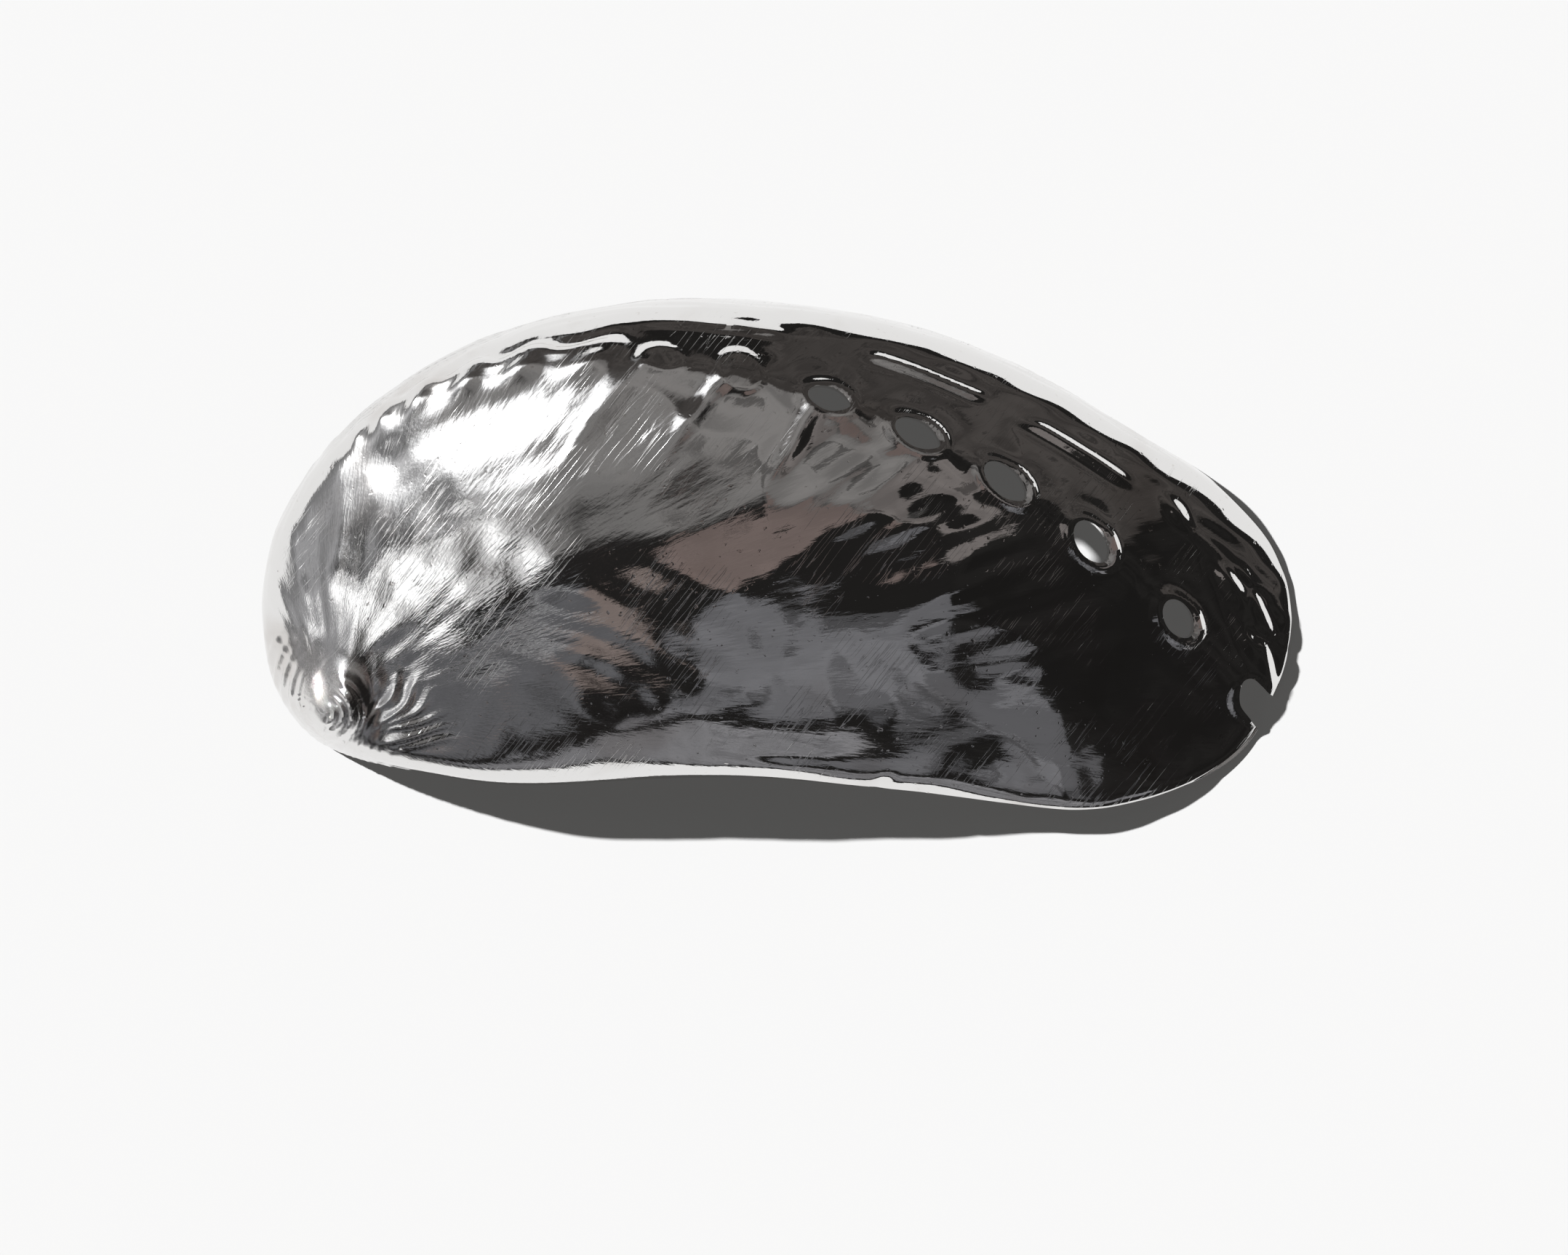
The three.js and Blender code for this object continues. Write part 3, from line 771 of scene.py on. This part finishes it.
# Panels of the room as the polished metal sees them, on a ceiling one unit up: centre x, centre y, half
# width, half depth, turn in degrees, edge softness, colour. Later panels cover earlier ones.
ROOM_DARK = (0.016, 0.0152, 0.0146)
CEILING_PANELS = [
    (1.00, 2.45, 3.20, 2.05, 0, 0.10, (0.062, 0.056, 0.053)),
    (-0.15, 0.32, 0.58, 0.45, 0, 0.14, (0.205, 0.197, 0.193)),
    (-0.72, -1.05, 0.44, 0.52, 4, 0.02, (0.135, 0.136, 0.145)),
    (-0.60, -0.60, 0.26, 0.030, -6, 0.02, (0.50, 0.50, 0.51)),
    (0.20, -1.45, 0.34, 0.80, -6, 0.02, (0.175, 0.175, 0.187)),
    (0.62, -1.75, 0.14, 0.55, 10, 0.02, (0.105, 0.105, 0.112)),
    (0.47, -1.02, 0.05, 0.09, 40, 0.01, (0.016, 0.015, 0.015)),
    (0.20, -9.0, 1.60, 6.20, 0, 0.10, (0.230, 0.228, 0.240)),
    (-0.29, -0.78, 0.12, 0.20, 20, 0.02, (0.250, 0.205, 0.190)),
    (0.04, -0.30, 0.15, 0.26, -40, 0.02, (0.185, 0.146, 0.136)),
    (0.42, -0.12, 0.22, 0.21, -35, 0.02, (0.170, 0.154, 0.149)),
    (-0.52, 0.05, 0.42, 0.34, 20, 0.16, (0.200, 0.195, 0.192)),
    (-31.0, -1.0, 29.0, 9.0, 0, 0.80, (0.26, 0.26, 0.265)),
    (-2.30, -0.10, 1.35, 1.55, 0, 0.50, (0.38, 0.38, 0.39)),
    (-1.20, 0.72, 0.74, 0.48, -30, 0.22, (1.60, 1.61, 1.64)),
    (-1.02, -0.30, 0.34, 0.22, 30, 0.06, (1.40, 1.40, 1.41)),
]
# The room's tone as the camera sees it, and the tone of the light that it sheds on the table.
TABLE_GLOW = (0.939, 0.939, 0.939, 1)
FILL = (0.088, 0.08668, 0.08448, 1)

TABLE_HALF = 2500
KEY_WAY = (-0.86, 0.51)
KEY_STRENGTH = 6.0
KEY_WIDTH = math.radians(1.3)
CAMERA_PLACE = (0.0007, -0.0071, 0.9)
CAMERA_LENS = 212.5


def ceiling_panel():
    """Group: mask of one turned rectangle on the ceiling, with soft edges."""
    labels = ("X", "Y", "Centre X", "Centre Y", "Half Width", "Half Depth", "Turn", "Softness")
    sockets = [(label, "NodeSocketFloat") for label in labels]
    group, nodes, given, result = new_group("Ceiling panel", sockets, [("Mask", "NodeSocketFloat")])
    offset = nodes.add("ShaderNodeCombineXYZ", inputs={
        "X": nodes.math("SUBTRACT", given["X"], given["Centre X"]),
        "Y": nodes.math("SUBTRACT", given["Y"], given["Centre Y"])})
    turned = nodes.add("ShaderNodeVectorRotate", rotation_type="Z_AXIS", inputs={
        "Vector": offset.outputs[0], "Angle": nodes.math("MULTIPLY", given["Turn"], -1.0)})
    local = nodes.add("ShaderNodeSeparateXYZ", inputs={"Vector": turned.outputs[0]}).outputs
    masks = []
    for side, half in (("X", "Half Width"), ("Y", "Half Depth")):
        inside = nodes.math("SUBTRACT", given[half], nodes.math("ABSOLUTE", local[side]))
        masks.append(nodes.span(inside, 0.0, given["Softness"]))
    nodes.feed(result["Mask"], nodes.math("MULTIPLY", *masks))
    return group


def build_room():
    """The world: a dark room with ceiling panels for the metal to mirror, pale to the camera and even for
    fill."""
    world = bpy.data.worlds.new("Room")
    world.use_nodes = True
    bpy.context.scene.world = world
    world.node_tree.nodes.clear()
    nodes = Nodes(world.node_tree)
    direction = nodes.add("ShaderNodeTexCoord").outputs["Generated"]
    way = nodes.add("ShaderNodeSeparateXYZ", inputs={"Vector": direction})
    up = nodes.math("MAXIMUM", way.outputs["Z"], 0.02)
    level = nodes.add("ShaderNodeCombineXYZ", inputs={
        side: nodes.math("DIVIDE", way.outputs[side], up) for side in ("X", "Y")}).outputs[0]
    wave = nodes.add("ShaderNodeTexNoise", noise_dimensions="2D", inputs={"Vector": level, "Scale": 4.0})
    shift = nodes.add("ShaderNodeVectorMath", operation="SUBTRACT", inputs={
        0: wave.outputs["Color"], 1: (0.5,) * 3})
    spot = nodes.add("ShaderNodeVectorMath", operation="MULTIPLY_ADD", inputs={
        0: shift.outputs[0], 1: (0.22,) * 3, 2: level}).outputs[0]
    bent = nodes.add("ShaderNodeSeparateXYZ", inputs={"Vector": spot}).outputs
    across, along = bent["X"], bent["Y"]
    colour = (*ROOM_DARK, 1)
    panel = ceiling_panel()
    for centre_x, centre_y, half_width, half_depth, turn, softness, shade in CEILING_PANELS:
        mask = nodes.add("ShaderNodeGroup", node_tree=panel, inputs={
            "X": across, "Y": along, "Centre X": centre_x, "Centre Y": centre_y, "Half Width": half_width,
            "Half Depth": half_depth, "Turn": math.radians(turn), "Softness": softness})
        colour = nodes.blend(mask.outputs["Mask"], colour, (*shade, 1))
    clutter = nodes.span(nodes.noise(spot, 3.4, 3.0, noise_dimensions="2D"), 0.60, 0.615)
    colour = nodes.blend(nodes.math("MULTIPLY", clutter, 0.6), colour, (*ROOM_DARK, 1))
    cloud = nodes.span(nodes.noise(spot, 1.7, 3.0, noise_dimensions="2D"), 0.3, 0.7, 0.75, 1.2)
    shaded = nodes.add("ShaderNodeVectorMath", operation="SCALE", inputs={0: colour, "Scale": cloud})
    path = nodes.add("ShaderNodeLightPath").outputs
    colour = nodes.blend(path["Is Diffuse Ray"], shaded.outputs[0], FILL)
    colour = nodes.blend(path["Is Camera Ray"], colour, TABLE_GLOW)
    background = nodes.add("ShaderNodeBackground", inputs={"Color": colour})
    nodes.add("ShaderNodeOutputWorld", inputs={"Surface": background.outputs[0]})


# --- Operators ---------------------------------------------------------------------------------------------

class SHELL_OT_add_shell(bpy.types.Operator):
    """Build the shell: skins, relief, open pores, notch and finish"""
    bl_idname = "abalone.add_shell"
    bl_label = "Add Shell"

    def execute(self, context):
        sizes = context.scene.shell_sizes
        points, quads, triangles = shell_arrays(sizes)
        shell = mesh_object("silver_shell", points, quads.tolist() + triangles.tolist())
        cutters = mesh_object("pore_cutters", *cutter_arrays(sizes))
        cut = shell.modifiers.new("Pores", "BOOLEAN")
        cut.operation = "DIFFERENCE"
        cut.solver = "MANIFOLD"
        cut.object = cutters
        context.view_layer.objects.active = shell
        bpy.ops.object.modifier_apply(modifier=cut.name)
        bpy.data.objects.remove(cutters)
        if not shell.data.polygons:
            raise RuntimeError("the shell has no faces after its pores are cut")
        shell.data.shade_smooth()
        shell.data.set_sharp_from_angle(angle=math.radians(48))
        add_growth_map(shell)
        shell.data.materials.clear()
        shell.data.materials.append(silver_material(context.scene.silver_finish))
        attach(shell, "root")
        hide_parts(SHELL_NODE)
        shell.visible_diffuse = False
        return {"FINISHED"}


class SHELL_OT_add_stage(bpy.types.Operator):
    """Build the table, the room, the key light and the camera"""
    bl_idname = "abalone.add_stage"
    bl_label = "Add Stage"

    def execute(self, context):
        settings = context.scene.stage_settings
        corners = np.array([(-1, -1, 0), (1, -1, 0), (1, 1, 0), (-1, 1, 0)]) * TABLE_HALF
        table = mesh_object("table", corners, [(0, 1, 2, 3)])
        table.data.materials.append(plain_material("Table", settings.table, 0.9))
        build_room()
        key = bpy.data.objects.new("key", bpy.data.lights.new("key", "SUN"))
        key.data.energy = KEY_STRENGTH
        key.data.angle = KEY_WIDTH
        level = math.cos(settings.key_height)
        towards = Vector((KEY_WAY[0] * level, KEY_WAY[1] * level, math.sin(settings.key_height)))
        key.rotation_euler = towards.to_track_quat("Z", "Y").to_euler()
        context.scene.collection.objects.link(key)
        camera = bpy.data.objects.new("camera", bpy.data.cameras.new("camera"))
        camera.location = CAMERA_PLACE
        camera.data.lens = CAMERA_LENS
        camera.data.sensor_width = 36
        camera.data.clip_end = 20
        context.scene.collection.objects.link(camera)
        context.scene.camera = camera
        context.scene.view_settings.view_transform = "Standard"
        return {"FINISHED"}


class SHELL_PT_panel(bpy.types.Panel):
    """Sizes, colours and operators in the sidebar"""
    bl_label = "Silver Abalone Shell"
    bl_idname = "SHELL_PT_panel"
    bl_space_type = "VIEW_3D"
    bl_region_type = "UI"
    bl_category = "Shell"

    def draw(self, context):
        scene = context.scene
        for groups, operator in (
                ((scene.shell_sizes, scene.silver_finish), "abalone.add_shell"),
                ((scene.stage_settings,), "abalone.add_stage")):
            for settings in groups:
                for name in settings.bl_rna.properties.keys():
                    if name not in ("rna_type", "name"):
                        self.layout.prop(settings, name)
            self.layout.operator(operator)


CLASSES = (ShellSizes, SilverFinish, StageSettings, SHELL_OT_add_shell, SHELL_OT_add_stage, SHELL_PT_panel)
SETTINGS = {"shell_sizes": ShellSizes, "silver_finish": SilverFinish, "stage_settings": StageSettings}


def register():
    for kind in CLASSES:
        bpy.utils.register_class(kind)
    for name, kind in SETTINGS.items():
        setattr(bpy.types.Scene, name, PointerProperty(type=kind))


def unregister():
    for name in SETTINGS:
        delattr(bpy.types.Scene, name)
    for kind in reversed(CLASSES):
        bpy.utils.unregister_class(kind)


def main():
    register()
    bpy.ops.abalone.add_shell()
    bpy.ops.abalone.add_stage()


if __name__ == "__main__":
    main()
